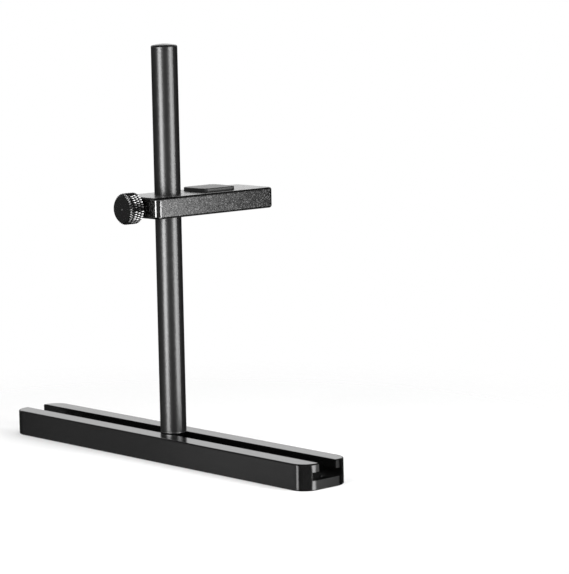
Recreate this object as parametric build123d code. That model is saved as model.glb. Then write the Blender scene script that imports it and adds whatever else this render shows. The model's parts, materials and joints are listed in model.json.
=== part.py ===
from build123d import *
import math
import os

# Support bracket for a heavy expansion card: a slotted rail, a post that slides along it,
# and an arm that is clamped on the post by a knurled thumb screw.
# Millimetres. The origin is the middle of the rail's underside, +X along the rail, +Z up the post.

# Rail
rail_length = 137.6
rail_width = 18.4
rail_height = 7.85
rail_corner_radius = 4.8
rail_edge_round = 0.45
rail_foot_chamfer = 0.3
slot_width = 6.7
slot_mouth_chamfer = 0.15
channel_width = 11.6
floor_thickness = 2.9
lip_thickness = 2.5

# Screw holes in the rail's floor, for the two common fan sizes
fan_hole_spacings = (105.0, 124.5)
fan_hole_diameter = 4.5
countersink_diameter = 8.4
countersink_angle = 90.0

# Nut that slides in the channel
nut_length = 18.0
nut_side_clearance = 0.2
nut_height_clearance = 0.12
nut_boss_drop = 0.1
nut_corner_chamfer = 0.6

# Stud between the nut and the post
stud_diameter = 4.0
stud_clearance = 0.05
stud_reach = 9.0
stud_hole_spare = 2.0
stud_chamfer = 0.4

# Post, which stands a little beside the rail's middle
post_place = 0.7
post_diameter = 8.0
post_length = 118.5
post_seat_gap = 0.05
post_crown = 0.55
post_top_round = 0.6
post_foot_chamfer = 0.25

# Arm, measured from the post's axis
arm_lift = 66.7
arm_width = 17.0
arm_thickness = 6.4
arm_front = 11.35
arm_back = 35.8
arm_corner_radius = 1.8
arm_edge_round = 0.75
bore_clearance = 0.06
bore_chamfer = 0.3

# Pad on the arm
pad_length = 13.2
pad_width = 11.2
pad_thickness = 1.2
pad_start = 10.0
pad_corner_radius = 2.2
pad_edge_round = 0.25

# Thumb screw
screw_diameter = 4.0
screw_clearance = 0.05
screw_tip_gap = 0.05
screw_tip_chamfer = 0.5
head_diameter = 9.5
head_length = 5.0
head_gap = 1.6
head_front_chamfer = 0.85
head_back_chamfer = 0.4
knurl_depth = 0.25
knurl_teeth = 38
knurl_row_pitch = 1.2
centre_mark_diameter = 0.7
centre_mark_depth = 0.35

# Shared places
channel_height = rail_height - floor_thickness - lip_thickness
post_foot = rail_height + post_seat_gap
post_radius = post_diameter / 2
arm_bottom = rail_height + arm_lift
arm_top = arm_bottom + arm_thickness
screw_height = arm_bottom + arm_thickness / 2
overcut = 1.0
radius_match = 1e-6


def make_base_rail():
    """T-slotted bar with round corners and two pairs of countersunk holes in its floor."""
    bar = extrude(RectangleRounded(rail_length, rail_width, rail_corner_radius), rail_height)
    bar = fillet(bar.faces().sort_by(Axis.Z)[-1].edges(), rail_edge_round)
    bar = chamfer(bar.faces().sort_by(Axis.Z)[0].edges(), rail_foot_chamfer)
    slot_half = slot_width / 2
    channel_half = channel_width / 2
    lip_under = floor_thickness + channel_height
    mouth_half = slot_half + slot_mouth_chamfer
    right_side = [
        (channel_half, floor_thickness),
        (channel_half, lip_under),
        (slot_half, lip_under),
        (slot_half, rail_height - slot_mouth_chamfer),
        (mouth_half, rail_height),
        (mouth_half, rail_height + overcut),
    ]
    left_side = [(-y, z) for y, z in reversed(right_side)]
    tee = make_face(Polyline(right_side + left_side, close=True))
    cut_length = rail_length + 2 * overcut
    tee_cut = extrude(Plane.YZ.offset(-cut_length / 2) * tee, cut_length)
    rail = bar - tee_cut
    hole_radius = fan_hole_diameter / 2
    sink_radius = countersink_diameter / 2
    sink_depth = (sink_radius - hole_radius) / math.tan(math.radians(countersink_angle / 2))
    hole_height = floor_thickness + 2 * overcut
    for spacing in fan_hole_spacings:
        for side in (-1, 1):
            spot = Pos(side * spacing / 2, 0, 0)
            hole = Pos(0, 0, floor_thickness / 2) * Cylinder(hole_radius, hole_height)
            sink = Pos(0, 0, floor_thickness - sink_depth / 2) * Cone(hole_radius, sink_radius, sink_depth)
            rail -= spot * (hole + sink)
    return rail


def make_slide_nut():
    """T-nut: a rectangular foot under the lips and a round boss that stands in the slot under the post."""
    foot_width = channel_width - 2 * nut_side_clearance
    foot_height = channel_height - 2 * nut_height_clearance
    foot_bottom = floor_thickness + nut_height_clearance
    boss_radius = slot_width / 2 - nut_side_clearance
    boss_height = rail_height - nut_boss_drop - foot_bottom
    foot = Pos(0, 0, foot_bottom + foot_height / 2) * Box(nut_length, foot_width, foot_height)
    foot = chamfer(foot.edges().filter_by(Axis.Z), nut_corner_chamfer)
    boss = Pos(0, 0, foot_bottom + boss_height / 2) * Cylinder(boss_radius, boss_height)
    hole_radius = stud_diameter / 2 + stud_clearance
    hole = Pos(0, 0, rail_height / 2) * Cylinder(hole_radius, rail_height + 2 * overcut)
    return foot + boss - hole


def make_post_stud():
    """Threaded stud from the nut up into the post, drawn at its outer diameter."""
    stud_bottom = floor_thickness + nut_height_clearance
    stud_length = post_foot + stud_reach - stud_bottom
    stud = Pos(0, 0, stud_bottom + stud_length / 2) * Cylinder(stud_diameter / 2, stud_length)
    return chamfer(stud.edges().filter_by(GeomType.CIRCLE), stud_chamfer)


def make_post():
    """Round rod with a crowned top and a blind hole for the stud."""
    post_top = post_foot + post_length
    shoulder = post_top - post_crown
    crown_radius = (post_radius**2 + post_crown**2) / (2 * post_crown)
    outline = Polyline((0, post_top), (0, post_foot), (post_radius, post_foot), (post_radius, shoulder))
    outline += RadiusArc((post_radius, shoulder), (0, post_top), -crown_radius)
    post = revolve(Plane.XZ * make_face(outline), Axis.Z)
    post = fillet(post.edges().filter_by_position(Axis.Z, shoulder, shoulder), post_top_round)
    post = chamfer(post.edges().filter_by_position(Axis.Z, post_foot, post_foot), post_foot_chamfer)
    hole_depth = stud_reach + stud_hole_spare
    hole = Pos(0, 0, post_foot + hole_depth / 2) * Cylinder(stud_diameter / 2 + stud_clearance, hole_depth)
    return post - hole


def make_arm():
    """Flat bar with round corners, bored for the post and tapped from its front end."""
    arm_length = arm_front + arm_back
    arm_middle = (arm_back - arm_front) / 2
    outline = RectangleRounded(arm_width, arm_length, arm_corner_radius)
    arm = Pos(0, arm_middle, arm_bottom) * extrude(outline, arm_thickness)
    for face in (arm.faces().sort_by(Axis.Z)[-1], arm.faces().sort_by(Axis.Z)[0]):
        level = face.center().Z
        arm = fillet(arm.edges().filter_by_position(Axis.Z, level, level), arm_edge_round)
    bore_radius = post_radius + bore_clearance
    bore_height = arm_thickness + 2 * overcut
    arm -= Pos(0, 0, screw_height) * Cylinder(bore_radius, bore_height)
    circles = arm.edges().filter_by(GeomType.CIRCLE)
    rims = circles.filter_by(lambda edge: abs(edge.radius - bore_radius) < radius_match)
    arm = chamfer(rims, bore_chamfer)
    tapped = Pos(0, -arm_front / 2, screw_height) * Rot(90, 0, 0)
    return arm - tapped * Cylinder(screw_diameter / 2 + screw_clearance, arm_front)


def make_arm_pad():
    """Soft pad that the card rests on."""
    pad = extrude(RectangleRounded(pad_width, pad_length, pad_corner_radius), pad_thickness)
    pad = fillet(pad.faces().sort_by(Axis.Z)[-1].edges(), pad_edge_round)
    return Pos(0, pad_start + pad_length / 2, arm_top) * pad


def make_knurled_head(back):
    """Knurled head: rings of small pyramids between two bevelled ends, with its back at the given Y."""
    tip_radius = head_diameter / 2
    root_radius = tip_radius - knurl_depth
    front = back - head_length
    columns = 2 * knurl_teeth
    band_length = head_length - head_front_chamfer - head_back_chamfer
    rows = max(2, round(band_length / knurl_row_pitch))
    # rings from back to front: place along Y, root radius, height of the raised points
    rings = [(back, tip_radius - head_back_chamfer, 0.0)]
    for row in range(rows + 1):
        rings.append((back - head_back_chamfer - band_length * row / rows, root_radius, knurl_depth))
    bevel_middle = root_radius - head_front_chamfer / 3
    rings.append((front + head_front_chamfer / 2, bevel_middle, knurl_depth / 2))
    rings.append((front, tip_radius - head_front_chamfer, 0.0))

    def point(column, ring):
        y, radius, raised = rings[ring]
        if (column + ring) % 2 == 1:
            radius += raised
        angle = math.pi * column / knurl_teeth
        return (radius * math.cos(angle), y, screw_height + radius * math.sin(angle))

    def flat_face(points):
        return Face(Wire.make_polygon(points, close=True))

    last = len(rings) - 1
    faces = [flat_face([point(column, ring) for column in range(columns)]) for ring in (0, last)]
    for ring in range(last):
        for column in range(columns):
            a = point(column, ring)
            b = point(column + 1, ring)
            c = point(column + 1, ring + 1)
            d = point(column, ring + 1)
            halves = [(a, b, c), (a, c, d)] if (column + ring) % 2 == 0 else [(a, b, d), (b, c, d)]
            faces += [flat_face(half) for half in halves]
    return Solid(Shell(faces))


def make_thumb_screw():
    """Thumb screw: knurled head with a turning centre mark, and a shank whose tip meets the post."""
    back = -arm_front - head_gap
    tip = -post_radius - screw_tip_gap
    shank_length = tip - back
    along = Rot(90, 0, 0)
    shank = Pos(0, back + shank_length / 2, screw_height) * along * Cylinder(screw_diameter / 2, shank_length)
    shank = chamfer(shank.edges().filter_by(GeomType.CIRCLE).sort_by(Axis.Y)[-1], screw_tip_chamfer)
    mark_cone = Cone(centre_mark_diameter / 2, 0, centre_mark_depth)
    mark = Pos(0, back - head_length + centre_mark_depth / 2, screw_height) * Rot(-90, 0, 0) * mark_cone
    return make_knurled_head(back) + shank - mark


at_post = Pos(post_place, 0, 0)
pieces = {
    "base_rail": make_base_rail(),
    "slide_nut": at_post * make_slide_nut(),
    "post_stud": at_post * make_post_stud(),
    "post": at_post * make_post(),
    "arm": at_post * make_arm(),
    "arm_pad": at_post * make_arm_pad(),
    "thumb_screw": at_post * make_thumb_screw(),
}

os.makedirs("parts", exist_ok=True)
for node, piece in pieces.items():
    export_step(piece, os.path.join("parts", node + ".step"))
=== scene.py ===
import bmesh
import bpy
import json
import math
from mathutils import Matrix, Vector

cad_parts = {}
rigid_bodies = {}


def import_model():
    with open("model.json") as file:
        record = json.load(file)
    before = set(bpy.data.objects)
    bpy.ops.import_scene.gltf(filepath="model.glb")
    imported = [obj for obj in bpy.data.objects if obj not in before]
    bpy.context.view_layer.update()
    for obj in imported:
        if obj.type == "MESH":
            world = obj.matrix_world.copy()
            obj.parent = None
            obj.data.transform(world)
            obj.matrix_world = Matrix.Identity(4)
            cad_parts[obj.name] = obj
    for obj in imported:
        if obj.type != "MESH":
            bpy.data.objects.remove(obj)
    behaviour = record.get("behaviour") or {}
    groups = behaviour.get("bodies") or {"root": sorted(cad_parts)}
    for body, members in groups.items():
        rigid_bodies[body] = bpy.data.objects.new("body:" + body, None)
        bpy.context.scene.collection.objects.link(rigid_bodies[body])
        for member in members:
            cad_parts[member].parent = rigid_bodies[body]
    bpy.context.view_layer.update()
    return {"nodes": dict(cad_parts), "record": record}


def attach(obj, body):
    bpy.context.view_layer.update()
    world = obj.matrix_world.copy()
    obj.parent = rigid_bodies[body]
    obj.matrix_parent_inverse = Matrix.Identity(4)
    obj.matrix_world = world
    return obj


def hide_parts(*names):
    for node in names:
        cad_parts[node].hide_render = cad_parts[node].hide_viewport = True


for leftover in list(bpy.data.objects):  # the start-up cube, lamp and camera
    bpy.data.objects.remove(leftover, do_unlink=True)

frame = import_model()
scene = bpy.context.scene
scene.view_settings.view_transform = "Standard"
print("frame loaded:", ", ".join(sorted(frame["nodes"])))


# small helpers for node trees

def addNode(tree, kind, inputs=None, **settings):
    node = tree.nodes.new(kind)
    for name, value in settings.items():
        setattr(node, name, value)
    for name, value in (inputs or {}).items():
        node.inputs[name].default_value = value
    return node


def wire(tree, source, target, into, out=0):
    tree.links.new(source.outputs[out], target.inputs[into])


def calc(tree, operation, first, second=None, clamp=False):
    node = addNode(tree, "ShaderNodeMath", operation=operation, use_clamp=clamp)
    for place, value in enumerate((first, second)):
        if value is None:
            continue
        if isinstance(value, (int, float)):
            node.inputs[place].default_value = value
        else:
            tree.links.new(value, node.inputs[place])
    return node.outputs[0]


def remap(tree, value, low, high, toLow=0.0, toHigh=1.0, smooth=False):
    node = addNode(tree, "ShaderNodeMapRange")
    node.interpolation_type = "SMOOTHSTEP" if smooth else "LINEAR"
    tree.links.new(value, node.inputs["Value"])
    for name, number in (("From Min", low), ("From Max", high), ("To Min", toLow), ("To Max", toHigh)):
        node.inputs[name].default_value = number
    return node.outputs["Result"]


def nodeBox(name):
    corners = [Vector(corner) for corner in frame["nodes"][name].bound_box]
    low = Vector(min(corner[axis] for corner in corners) for axis in range(3))
    high = Vector(max(corner[axis] for corner in corners) for axis in range(3))
    return low, high


# camera, set where the photograph was taken from
photoCamera = {
    "position": (0.58166, -0.48857, 0.15057),
    "heading": 47.308,      # degrees left of +Y
    "tiltDown": 7.411,
    "roll": 1.085,
    "focalPixels": 2514.4,
    "imageSize": (569, 574),
    "sensor": 36.0,         # mm across the longer side
    "clipStart": 0.01,
}


def placeCamera(spec):
    data = bpy.data.cameras.new("photoCamera")
    data.sensor_width = spec["sensor"]
    data.lens = spec["focalPixels"] * spec["sensor"] / max(spec["imageSize"])
    data.clip_start = spec["clipStart"]
    camera = bpy.data.objects.new("photoCamera", data)
    turn = Matrix.Rotation(math.radians(spec["heading"]), 4, "Z")
    tilt = Matrix.Rotation(math.radians(90 - spec["tiltDown"]), 4, "X")
    roll = Matrix.Rotation(math.radians(-spec["roll"]), 4, "Z")
    camera.matrix_world = Matrix.Translation(spec["position"]) @ turn @ tilt @ roll
    scene.collection.objects.link(camera)
    scene.camera = camera
    print("camera placed, lens", round(data.lens, 1), "mm")


placeCamera(photoCamera)


# studio: a pale round table top, a white room, three upright softboxes and three cards
studio = {
    "tableRadius": 0.20,
    "tableSegments": 128,
    "tableFade": (0.05, 0.19),    # where the table top melts into the white room
    "tablePale": 0.86,
    "behind": 140.0,              # azimuth of the backdrop, degrees from +X
    "backdropEdge": (27.0, 8.0),  # where it ends and where it is full, degrees to each side
    "backdropFoot": (-0.03, 0.05, 0.15),   # two heights on the unit sphere, and its level below them
    "backdropHead": (0.70, 0.45),
    "skyEdge": (60.0, 35.0),      # wider above, where the post's crown looks
    "skyRise": (0.20, 0.34),
    "skyGlow": 0.8,
    "frontEdge": (-0.55, -1.0),   # cosines of the angle from the backdrop's middle
    "frontGlow": 0.11,            # pale room round the camera
    "sideAzimuth": -140.0,
    "sideEdge": (0.70, 0.98),     # cosines of the angle from the wall's middle
    "sideGlow": 0.051,            # pale wall on the left
    "floorAzimuth": 12.0,
    "floorRise": -40.0,
    "floorEdge": (26.0, 15.0),
    "floorGlow": 2.2,             # bright patch of floor that the knurl mirrors
    "darkRoom": 0.006,
    "ringRise": (0.10, 0.18, 0.45, 0.55),  # pale band round the room, for level faces
    "ringGlow": 0.15,
    "paleFloorRise": (-0.17, -0.28),
    "paleFloorEdge": (0.35, 0.60),
    "paleFloor": 0.15,            # floor behind, for the far walls
    "ambient": 0.80,
}
# panels: the pieces that each lights, width, foot, head and radiance
# in front and beside, those for the arm and the rail end below the piece's top, which would mirror them
railPieces = ("base_rail", "slide_nut", "post_stud")
allPieces = railPieces + ("post", "arm", "arm_pad", "thumb_screw", "tableTop")
leftSoftbox = {
    "azimuth": -82.0,
    "distance": 0.24,
    "panels": (
        (("tableTop",), 0.115, -0.038, 0.250, 8.1),
        (("thumb_screw",), 0.115, 0.045, 0.200, 8.1),
        (("post",), 0.115, -0.038, 0.150, 8.2),
        (("arm", "arm_pad"), 0.080, 0.030, 0.070, 8.5),
        (railPieces, 0.064, -0.070, 0.006, 3.8),
    ),
}
rightSoftbox = {
    "azimuth": 14.0,
    "distance": 0.22,
    "panels": (
        (("tableTop",), 0.115, -0.022, 0.298, 5.8),
        (("thumb_screw",), 0.115, -0.022, 0.298, 9.5),
        (("post",), 0.115, -0.038, 0.150, 5.9),
        (("arm", "arm_pad"), 0.055, 0.030, 0.070, 8.4),
        (railPieces, 0.082, -0.070, 0.006, 5.1),
    ),
}
backSoftbox = {                   # shines on the arm's top from behind
    "azimuth": 140.0,
    "distance": 0.50,
    "panels": ((allPieces, 0.30, 0.140, 0.340, 0.55),),
}
armCard = {                       # mirrored by the long sides of the arm and the pad
    "azimuth": 27.0,
    "distance": 0.20,
    "panels": (
        (("arm",), 0.085, 0.0, 0.079, 1.6),
        (("arm_pad",), 0.085, 0.0, 0.079, 7.5),
    ),
}
sideCard = {                      # low pale card that the rail's long side mirrors
    "azimuth": -118.0,
    "distance": 0.24,
    "panels": ((allPieces, 0.30, -0.065, -0.015, 0.148),),
}
nearCard = {                      # a second one, so that the rail is paler toward its near end
    "azimuth": -118.0,
    "distance": 0.245,
    "panels": ((railPieces, 0.160, -0.065, -0.015, 0.185),),
}


def makeTable(spec):
    mesh = bpy.data.meshes.new("tableTop")
    shape = bmesh.new()
    bmesh.ops.create_circle(shape, cap_ends=True, segments=spec["tableSegments"],
                            radius=spec["tableRadius"])
    shape.to_mesh(mesh)
    shape.free()
    table = bpy.data.objects.new("tableTop", mesh)
    table.visible_glossy = False  # the metal mirrors the room instead
    scene.collection.objects.link(table)
    material = bpy.data.materials.new("tableTop")
    material.use_nodes = True
    tree = material.node_tree
    tree.nodes.clear()
    pale = spec["tablePale"]
    matte = addNode(tree, "ShaderNodeBsdfDiffuse", {"Color": (pale, pale, pale, 1)})
    place = addNode(tree, "ShaderNodeTexCoord")
    reach = addNode(tree, "ShaderNodeVectorMath", operation="LENGTH")
    wire(tree, place, reach, 0, "Object")
    fade = remap(tree, reach.outputs["Value"], *spec["tableFade"], smooth=True)
    face = addNode(tree, "ShaderNodeNewGeometry")
    fade = calc(tree, "MAXIMUM", fade, face.outputs["Backfacing"])  # clear from below
    clear = addNode(tree, "ShaderNodeBsdfTransparent")
    mix = addNode(tree, "ShaderNodeMixShader")
    tree.links.new(fade, mix.inputs["Fac"])
    wire(tree, matte, mix, 1)
    wire(tree, clear, mix, 2)
    out = addNode(tree, "ShaderNodeOutputMaterial")
    wire(tree, mix, out, "Surface")
    mesh.materials.append(material)


def facingTo(tree, place, azimuth, rise=0.0):
    around = math.radians(azimuth)
    level = math.cos(math.radians(rise))
    facing = addNode(tree, "ShaderNodeVectorMath", operation="DOT_PRODUCT")
    toward = (math.cos(around) * level, math.sin(around) * level, math.sin(math.radians(rise)))
    facing.inputs[1].default_value = toward
    wire(tree, place, facing, 0, "Generated")
    return facing.outputs["Value"]


def makeRoom(spec):
    world = bpy.data.worlds.new("studioRoom")
    scene.world = world
    world.use_nodes = True
    tree = world.node_tree
    tree.nodes.clear()
    place = addNode(tree, "ShaderNodeTexCoord")
    parts = addNode(tree, "ShaderNodeSeparateXYZ")
    wire(tree, place, parts, "Vector", "Generated")
    rise = parts.outputs["Z"]
    facing = facingTo(tree, place, spec["behind"])
    ends, full = [math.cos(math.radians(angle)) for angle in spec["backdropEdge"]]
    behind = remap(tree, facing, ends, full, smooth=True)
    head = remap(tree, rise, *spec["backdropHead"], smooth=True)
    footLow, footHigh, footLevel = spec["backdropFoot"]
    foot = remap(tree, rise, footLow, footHigh, footLevel, 1.0, smooth=True)
    skyEnds, skyFull = [math.cos(math.radians(angle)) for angle in spec["skyEdge"]]
    sky = remap(tree, facing, skyEnds, skyFull, 0.0, spec["skyGlow"], smooth=True)
    sky = calc(tree, "MULTIPLY", sky, remap(tree, rise, *spec["skyRise"], smooth=True))
    behind = calc(tree, "MAXIMUM", behind, sky)
    backdrop = calc(tree, "MULTIPLY", behind, calc(tree, "MULTIPLY", head, foot))
    front = remap(tree, facing, *spec["frontEdge"], 0.0, spec["frontGlow"], smooth=True)
    wall = facingTo(tree, place, spec["sideAzimuth"])
    side = remap(tree, wall, *spec["sideEdge"], 0.0, spec["sideGlow"], smooth=True)
    patch = facingTo(tree, place, spec["floorAzimuth"], spec["floorRise"])
    patchEnds, patchFull = [math.cos(math.radians(angle)) for angle in spec["floorEdge"]]
    floor = remap(tree, patch, patchEnds, patchFull, 0.0, spec["floorGlow"], smooth=True)
    glow = calc(tree, "ADD", calc(tree, "ADD", front, side), floor)
    ringLow, ringFull, ringOver, ringEnd = spec["ringRise"]
    ring = remap(tree, rise, ringLow, ringFull, 0.0, spec["ringGlow"], smooth=True)
    ring = calc(tree, "MULTIPLY", ring, remap(tree, rise, ringEnd, ringOver, smooth=True))
    under = remap(tree, rise, *spec["paleFloorRise"], 0.0, spec["paleFloor"], smooth=True)
    under = calc(tree, "MULTIPLY", under, remap(tree, facing, *spec["paleFloorEdge"], smooth=True))
    glow = calc(tree, "ADD", glow, calc(tree, "ADD", ring, under))
    glossy = calc(tree, "ADD", calc(tree, "MAXIMUM", backdrop, spec["darkRoom"]), glow)
    ray = addNode(tree, "ShaderNodeLightPath").outputs
    seen = calc(tree, "ADD", ray["Is Camera Ray"], ray["Is Transmission Ray"], clamp=True)
    shine = calc(tree, "MULTIPLY", ray["Is Glossy Ray"], glossy)
    dull = calc(tree, "SUBTRACT", 1.0, ray["Is Glossy Ray"])
    other = calc(tree, "MULTIPLY", dull, spec["ambient"])
    level = calc(tree, "MAXIMUM", seen, calc(tree, "ADD", shine, other))
    background = addNode(tree, "ShaderNodeBackground", {"Color": (1, 1, 1, 1)})
    tree.links.new(level, background.inputs["Strength"])
    out = addNode(tree, "ShaderNodeOutputWorld")
    wire(tree, background, out, "Surface")


litWith = {}  # for each piece, the collections of the lamps that light it


def lightOnly(lamp, pieces):
    lit = bpy.data.collections.new(lamp.name + "Lit")
    for piece in pieces:
        thing = frame["nodes"].get(piece) or bpy.data.objects[piece]
        lit.objects.link(thing)
        litWith.setdefault(piece, []).append(lit)
    lamp.light_linking.receiver_collection = lit


def hangSoftbox(name, spec):
    azimuth = math.radians(spec["azimuth"])
    spot = Vector((math.cos(azimuth), math.sin(azimuth), 0)) * spec["distance"]
    for pieces, width, foot, head, radiance in spec["panels"]:
        data = bpy.data.lights.new(name, "AREA")
        data.shape = "RECTANGLE"
        data.size = width
        data.size_y = head - foot
        data.energy = radiance * math.pi * data.size * data.size_y
        lamp = bpy.data.objects.new(name, data)
        lamp.location = spot + Vector((0, 0, (foot + head) / 2))
        lamp.rotation_euler = (-spot).to_track_quat("-Z", "Y").to_euler()
        lamp.visible_camera = False
        scene.collection.objects.link(lamp)
        lightOnly(lamp, pieces)


makeTable(studio)
makeRoom(studio)
hangSoftbox("leftSoftbox", leftSoftbox)
hangSoftbox("rightSoftbox", rightSoftbox)
hangSoftbox("backSoftbox", backSoftbox)
hangSoftbox("armCard", armCard)
hangSoftbox("sideCard", sideCard)
hangSoftbox("nearCard", nearCard)
print("studio lit by three softboxes and three cards")


# surface effects that several finishes share

def newGroup(name, inputs, outputs):
    tree = bpy.data.node_groups.new(name, "ShaderNodeTree")
    for label, value in inputs.items():
        socket = tree.interface.new_socket(label, in_out="INPUT", socket_type="NodeSocketFloat")
        socket.default_value = value
    for label, kind in outputs.items():
        tree.interface.new_socket(label, in_out="OUTPUT", socket_type="NodeSocket" + kind)
    return tree, addNode(tree, "NodeGroupInput"), addNode(tree, "NodeGroupOutput")


def makeBlastGrain():
    inputs = {"Grain Size": 0.0002, "Tilt": 0.2}
    tree, given, result = newGroup("blastGrain", inputs, {"Sparkle": "Float", "Normal": "Vector"})
    place = addNode(tree, "ShaderNodeTexCoord")
    scale = calc(tree, "DIVIDE", 1.0, given.outputs["Grain Size"])
    dents = addNode(tree, "ShaderNodeTexVoronoi", feature="F1")
    wire(tree, place, dents, "Vector", "Object")
    tree.links.new(scale, dents.inputs["Scale"])
    lean = addNode(tree, "ShaderNodeVectorMath", operation="SUBTRACT")
    lean.inputs[1].default_value = (0.5, 0.5, 0.5)  # each dent's random colour, centred on zero
    wire(tree, dents, lean, 0, "Color")
    amount = addNode(tree, "ShaderNodeVectorMath", operation="SCALE")
    wire(tree, lean, amount, 0)
    wire(tree, given, amount, "Scale", "Tilt")
    face = addNode(tree, "ShaderNodeNewGeometry")
    leaned = addNode(tree, "ShaderNodeVectorMath", operation="ADD")
    wire(tree, face, leaned, 0, "Normal")
    wire(tree, amount, leaned, 1)
    unit = addNode(tree, "ShaderNodeVectorMath", operation="NORMALIZE")
    wire(tree, leaned, unit, 0)
    wire(tree, unit, result, "Normal")
    # a random value per grain, for the tone and for the arm's painted glints
    chance = addNode(tree, "ShaderNodeSeparateColor")
    wire(tree, dents, chance, "Color", "Color")
    wire(tree, chance, result, "Sparkle", "Red")
    return tree


def makeToolLines():
    inputs = {"Line Width": 0.0001, "Along X": 1.0, "Along Y": 1.0, "Along Z": 1.0}
    tree, given, result = newGroup("toolLines", inputs, {"Lines": "Float"})
    place = addNode(tree, "ShaderNodeTexCoord")
    stretch = addNode(tree, "ShaderNodeCombineXYZ")
    for axis in "XYZ":
        wire(tree, given, stretch, axis, "Along " + axis)
    drawn = addNode(tree, "ShaderNodeVectorMath", operation="MULTIPLY")
    wire(tree, place, drawn, 0, "Object")
    wire(tree, stretch, drawn, 1)
    noise = addNode(tree, "ShaderNodeTexNoise", {"Detail": 3.0, "Roughness": 0.6})
    wire(tree, drawn, noise, "Vector")
    tree.links.new(calc(tree, "DIVIDE", 1.0, given.outputs["Line Width"]), noise.inputs["Scale"])
    wire(tree, noise, result, "Lines", "Fac")
    return tree


blastGrain = makeBlastGrain()
toolLines = makeToolLines()
lineSpan = (0.3, 0.7)  # the noise seldom leaves it


def startMaterial(name, spec):
    material = bpy.data.materials.new(name)
    material.use_nodes = True
    tree = material.node_tree
    tree.nodes.clear()
    shader = addNode(tree, "ShaderNodeBsdfPrincipled", {"IOR": spec["ior"], "Metallic": spec["metal"]})
    out = addNode(tree, "ShaderNodeOutputMaterial")
    wire(tree, shader, out, "Surface")
    return material, tree, shader


def placeGroup(tree, group, values):
    return addNode(tree, "ShaderNodeGroup", values, node_tree=group)


def grainedSurface(name, spec):
    material, tree, shader = startMaterial(name, spec)
    grain = placeGroup(tree, blastGrain, {"Grain Size": spec["grain"], "Tilt": spec["tilt"]})
    dark, light = spec["tone"]
    # base colour: random tone per grain; on the arm the light grains are painted glints
    toneAndPaintedGlint = remap(tree, grain.outputs["Sparkle"], spec["sparse"], 1.0, dark, light)
    tree.links.new(toneAndPaintedGlint, shader.inputs["Base Color"])
    along = dict(zip(("Along X", "Along Y", "Along Z"), spec["lineStretch"]))
    lines = placeGroup(tree, toolLines, {"Line Width": spec["lineWidth"], **along})
    smooth, rough = spec["roughness"]
    worn = remap(tree, lines.outputs["Lines"], *lineSpan, smooth, rough)
    tree.links.new(worn, shader.inputs["Roughness"])
    bump = addNode(tree, "ShaderNodeBump", {"Distance": spec["lineDepth"]})
    wire(tree, lines, bump, "Height", "Lines")
    wire(tree, grain, bump, "Normal", "Normal")
    wire(tree, bump, shader, "Normal")
    return material, tree, shader, bump


def dress(nodeName, material):
    frame["nodes"][nodeName].data.materials[0] = material


def placeParts(tree, kind="Object"):
    place = addNode(tree, "ShaderNodeTexCoord")
    parts = addNode(tree, "ShaderNodeSeparateXYZ")
    wire(tree, place, parts, "Vector", kind)
    return parts.outputs["X"], parts.outputs["Y"], parts.outputs["Z"]


def reachFrom(tree, first, second):
    squares = [calc(tree, "MULTIPLY", part, part) for part in (first, second)]
    return calc(tree, "SQRT", calc(tree, "ADD", *squares))


def moreBump(tree, shader, under, height, distance):
    bump = addNode(tree, "ShaderNodeBump", {"Distance": distance})
    tree.links.new(height, bump.inputs["Height"])
    wire(tree, under, bump, "Normal")
    wire(tree, bump, shader, "Normal")
    return bump


def addRough(tree, shader, amount):
    rough = shader.inputs["Roughness"].links[0].from_socket
    tree.links.new(calc(tree, "ADD", rough, amount), shader.inputs["Roughness"])


def showBare(tree, shader, where, tone):  # aluminium that shows through the anodising
    under = shader.inputs["Base Color"].links[0].from_socket
    bare = calc(tree, "MULTIPLY", where, tone)
    tree.links.new(calc(tree, "MAXIMUM", under, bare), shader.inputs["Base Color"])
    tree.links.new(where, shader.inputs["Metallic"])


# rail: extruded bar, anodised black, die lines along its length, countersinks cut afterwards
railFinish = {
    "tone": (0.003, 0.005),
    "sparse": 0.3,                   # part of the grain that stays at the darker tone
    "metal": 0.0,
    "ior": 1.8,
    "roughness": (0.15, 0.22),
    "grain": 0.0003,
    "tilt": 0.02,
    "lineWidth": 0.0003,
    "lineStretch": (0.02, 1.0, 1.0),
    "lineDepth": 0.000002,
    "endRound": (0.06875, 0.06880),  # from the corner's round to the sawn end
    "endRough": 0.18,
    "sinkRadius": 0.0043,
    "sinkTop": 0.00288,
    "bareTone": 0.55,
}


def makeRailFinish(spec):
    material, tree, shader = grainedSurface("railFinish", spec)[:3]
    x, y, z = placeParts(tree)
    inside = None
    for mount in frame["record"]["mounts"]:
        if mount["kind"] != "bolt_pattern":
            continue
        middle = mount["dims"]["spacing_x_mm"] / 2000  # half of it, in metres
        away = reachFrom(tree, calc(tree, "SUBTRACT", calc(tree, "ABSOLUTE", x), middle), y)
        hole = calc(tree, "LESS_THAN", away, spec["sinkRadius"])
        inside = hole if inside is None else calc(tree, "MAXIMUM", inside, hole)
    bare = calc(tree, "MULTIPLY", inside, calc(tree, "LESS_THAN", z, spec["sinkTop"]))
    showBare(tree, shader, bare, spec["bareTone"])
    sawn = remap(tree, calc(tree, "ABSOLUTE", x), *spec["endRound"], 0.0, spec["endRough"])
    addRough(tree, shader, sawn)
    return material


dress("base_rail", makeRailFinish(railFinish))

# post: ground rod, blasted fine and anodised
postFinish = {
    "tone": (0.003, 0.006),
    "sparse": 0.3,
    "metal": 0.0,
    "ior": 1.9,
    "roughness": (0.30, 0.35),
    "grain": 0.00025,
    "tilt": 0.05,
    "lineWidth": 0.0004,
    "lineStretch": (0.06, 0.06, 1.0),
    "lineDepth": 0.000003,
    "footEdge": 0.00045,
    "bareTone": 0.35,
    "crownLean": (0.05, 0.30),    # upward part of the normal, from the wall to the crown
    "crownRough": -0.06,
}


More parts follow.
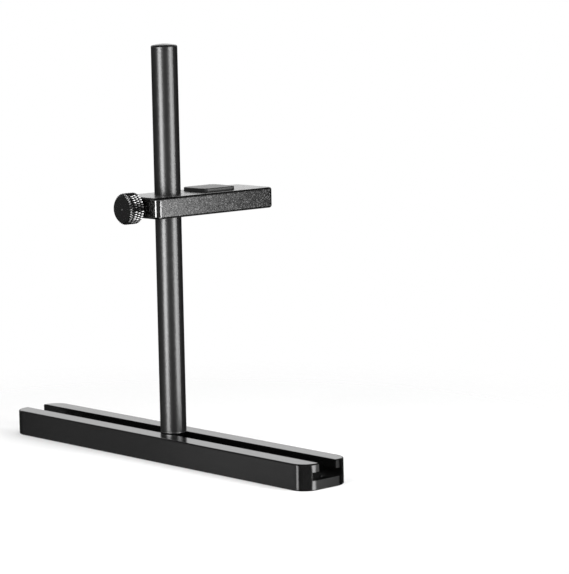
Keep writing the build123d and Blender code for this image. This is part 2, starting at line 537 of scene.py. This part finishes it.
def makePostFinish(spec):
    material, tree, shader = grainedSurface("postFinish", spec)[:3]
    upward = placeParts(tree, "Normal")[2]
    addRough(tree, shader, remap(tree, upward, *spec["crownLean"], 0.0, spec["crownRough"]))
    foot = nodeBox("post")[0].z
    height = placeParts(tree)[2]
    bare = calc(tree, "LESS_THAN", height, foot + spec["footEdge"])
    showBare(tree, shader, bare, spec["bareTone"])
    return material


dress("post", makePostFinish(postFinish))

# arm: bead blasted; its sparkle is painted glints, the lightest 18% of the grain lit up to 0.30 in the
# base colour
armFinish = {
    "tone": (0.002, 0.30),
    "sparse": 0.82,
    "metal": 0.0,
    "ior": 2.7,
    "roughness": (0.25, 0.30),
    "grain": 0.00022,
    "tilt": 0.08,
    "lineWidth": 0.0006,
    "lineStretch": (1.0, 1.0, 1.0),
    "lineDepth": 0.000002,
    "edgeLean": (0.995, 0.93),  # largest part of the normal, from the flats to the edges
    "edgeRough": -0.13,     # the rounded edges are rubbed smoother
    "endLean": (0.80, 0.95),
    "endFewerGlints": 0.6,         # the ends get fewer painted glints
}


def makeArmFinish(spec):
    material, tree, shader = grainedSurface("armFinish", spec)[:3]
    x, y, z = [calc(tree, "ABSOLUTE", lean) for lean in placeParts(tree, "Normal")]
    flat = calc(tree, "MAXIMUM", calc(tree, "MAXIMUM", x, y), z)
    edge = remap(tree, flat, *spec["edgeLean"])
    end = remap(tree, y, *spec["endLean"], 0.0, spec["endFewerGlints"])
    addRough(tree, shader, calc(tree, "MULTIPLY", edge, spec["edgeRough"]))
    tone = shader.inputs["Base Color"].links[0].from_socket
    # painted glints are left off the rounded edges and the ends, which keeps these dark
    paintedGlintShare = calc(tree, "SUBTRACT", 1.0, calc(tree, "MAXIMUM", edge, end))
    tree.links.new(calc(tree, "MULTIPLY", tone, paintedGlintShare), shader.inputs["Base Color"])
    return material


dress("arm", makeArmFinish(armFinish))

# thumb screw: turned face, knurl, threaded shank, glossier than the rest
screwFinish = {
    "tone": (0.003, 0.006),
    "sparse": 0.3,
    "metal": 0.0,
    "ior": 2.4,
    "roughness": (0.08, 0.11),
    "grain": 0.0003,
    "tilt": 0.03,
    "lineWidth": 0.0003,
    "lineStretch": (1.0, 1.0, 1.0),
    "lineDepth": 0.000002,
    "faceDepth": 0.00008,
    "ringPitch": 0.00022,
    "ringHeight": 0.000003,
    "crest": (0.00454, 0.00462),    # radii between which the knurl turns from valleys darkened as painted shade to shiny crests
    "valleyRough": 0.20,
    "bevelLength": 0.00080,
    "bevel": (0.0039, 0.0045),
    "bevelRound": 0.00020,
    "bevelShadeShare": 0.45,
    "markReach": 0.00050,           # the centre mark, drilled after the anodising
    "markTone": 0.43,
    "shankReach": 0.00215,
    "threadPitch": 0.0007,
    "threadHeight": 0.0003,
}


def makeScrewFinish(spec):
    material, tree, shader, bump = grainedSurface("screwFinish", spec)
    low, high = nodeBox("thumb_screw")
    x, y, z = placeParts(tree)
    across = calc(tree, "SUBTRACT", x, (low.x + high.x) / 2)
    upward = calc(tree, "SUBTRACT", z, (low.z + high.z) / 2)
    reach = reachFrom(tree, across, upward)
    face = calc(tree, "LESS_THAN", y, low.y + spec["faceDepth"])
    rings = calc(tree, "SINE", calc(tree, "MULTIPLY", reach, 2 * math.pi / spec["ringPitch"]))
    bump = moreBump(tree, shader, bump, calc(tree, "MULTIPLY", rings, face), spec["ringHeight"])
    shank = calc(tree, "LESS_THAN", reach, spec["shankReach"])
    shank = calc(tree, "MULTIPLY", shank, calc(tree, "SUBTRACT", 1.0, face))
    turn = calc(tree, "DIVIDE", calc(tree, "ARCTAN2", upward, across), 2 * math.pi)
    climb = calc(tree, "FRACT", calc(tree, "ADD", calc(tree, "DIVIDE", y, spec["threadPitch"]), turn))
    ridge = calc(tree, "ABSOLUTE", calc(tree, "SUBTRACT", climb, 0.5))
    bump = moreBump(tree, shader, bump, calc(tree, "MULTIPLY", ridge, shank), spec["threadHeight"])
    moreBump(tree, shader, bump, remap(tree, reach, *spec["bevel"]), spec["bevelRound"])
    # painted shade: the knurl's valleys are made black metal and rougher, in place of their
    # self-shadowing
    valleyShade = remap(tree, reach, *spec["crest"], 1.0, 0.0)
    knurl = calc(tree, "GREATER_THAN", y, low.y + spec["bevelLength"])
    bevel = calc(tree, "GREATER_THAN", reach, spec["bevel"][0])
    # the bevel gets only part of the valleys' painted shade
    shadeShare = calc(tree, "MAXIMUM", knurl, calc(tree, "MULTIPLY", bevel, spec["bevelShadeShare"]))
    valleyShade = calc(tree, "MULTIPLY", valleyShade, shadeShare)
    addRough(tree, shader, calc(tree, "MULTIPLY", valleyShade, spec["valleyRough"]))
    mark = calc(tree, "LESS_THAN", reach, spec["markReach"])
    mark = calc(tree, "MULTIPLY", mark, calc(tree, "LESS_THAN", y, low.y + spec["bevelLength"]))
    showBare(tree, shader, mark, spec["markTone"])
    metal = calc(tree, "MAXIMUM", valleyShade, mark)  # painted shade: black metal in the valleys mirrors little; the centre mark is bare metal
    tree.links.new(metal, shader.inputs["Metallic"])
    return material


dress("thumb_screw", makeScrewFinish(screwFinish))

# nut and stud: blackened steel
nutFinish = {
    "tone": (0.03, 0.06),
    "sparse": 0.3,
    "metal": 1.0,
    "ior": 1.5,
    "roughness": (0.35, 0.5),
    "grain": 0.00012,
    "tilt": 0.1,
    "lineWidth": 0.0002,
    "lineStretch": (0.05, 1.0, 1.0),
    "lineDepth": 0.000003,
}
nutMaterial = grainedSurface("nutFinish", nutFinish)[0]
dress("slide_nut", nutMaterial)
dress("post_stud", nutMaterial)
print("metal finishes done")


# pad: soft rubber, a low crown on top and sides that draw in between foot and rim
restPad = {
    "tone": (0.008, 0.014),
    "sparse": 0.3,
    "metal": 0.0,
    "ior": 2.3,
    "roughness": (0.38, 0.45),
    "sideLean": (0.9, 0.5),  # upward part of the normal, from the top to the sides
    "sideRough": 0.15,
    "grain": 0.0003,
    "tilt": 0.06,
    "lineWidth": 0.0008,
    "lineStretch": (1.0, 1.0, 1.0),
    "lineDepth": 0.000004,
    "cornerRadius": 0.0022,
    "leastRadius": 0.0002,
    "cornerSteps": 12,
    # inset from the outline and height, both as parts of the thickness, from the foot up
    "side": ((0.05, 0.0), (0.0, 0.08), (0.02, 0.22), (0.05, 0.42), (0.03, 0.62), (0.03, 0.72)),
    "rim": ((0.06, 0.81), (0.12, 0.88), (0.20, 0.92), (0.32, 0.945)),
    "topRings": 8,
}


def padRing(spec, middle, half, inset, height):
    radius = max(spec["cornerRadius"] - inset, spec["leastRadius"])
    ring = []
    for corner, (sideX, sideY) in enumerate(((1, -1), (1, 1), (-1, 1), (-1, -1))):
        centre = Vector((sideX * (half.x - inset - radius), sideY * (half.y - inset - radius), height))
        for step in range(spec["cornerSteps"] + 1):
            angle = math.radians(-90 + 90 * corner + 90 * step / spec["cornerSteps"])
            ring.append(middle + centre + Vector((math.cos(angle), math.sin(angle), 0)) * radius)
    return ring


def makeRestPad(spec):
    low, high = nodeBox("arm_pad")
    middle = Vector(((low.x + high.x) / 2, (low.y + high.y) / 2, low.z))
    half = (high - low) / 2
    thick = high.z - low.z
    outline = spec["side"] + spec["rim"]
    rings = [padRing(spec, middle, half, inset * thick, rise * thick) for inset, rise in outline]
    rim = rings[-1]
    rimRise = outline[-1][1]
    for step in range(1, spec["topRings"]):
        inward = 1 - step / spec["topRings"]
        crown = rimRise + (1 - rimRise) * (1 - inward ** 2)
        ring = []
        for point in rim:
            x = middle.x + (point.x - middle.x) * inward
            y = middle.y + (point.y - middle.y) * inward
            ring.append(Vector((x, y, low.z + crown * thick)))
        rings.append(ring)
    shape = bmesh.new()
    loops = [[shape.verts.new(point) for point in ring] for ring in rings]
    count = len(loops[0])
    for lower, upper in zip(loops, loops[1:]):
        for place in range(count):
            beside = (place + 1) % count
            shape.faces.new((lower[place], lower[beside], upper[beside], upper[place]))
    shape.faces.new(reversed(loops[0]))
    peak = shape.verts.new((middle.x, middle.y, high.z))
    for place in range(count):
        shape.faces.new((loops[-1][place], loops[-1][(place + 1) % count], peak))
    mesh = bpy.data.meshes.new("restPad")
    shape.to_mesh(mesh)
    shape.free()
    mesh.shade_smooth()
    pad = bpy.data.objects.new("restPad", mesh)
    scene.collection.objects.link(pad)
    material, tree, shader = grainedSurface("restPadRubber", spec)[:3]
    upward = placeParts(tree, "Normal")[2]
    addRough(tree, shader, remap(tree, upward, *spec["sideLean"], 0.0, spec["sideRough"]))
    mesh.materials.append(material)
    for lit in litWith["arm_pad"]:
        lit.objects.link(pad)
    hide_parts("arm_pad")
    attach(pad, "arm")


makeRestPad(restPad)
print("pad modelled")
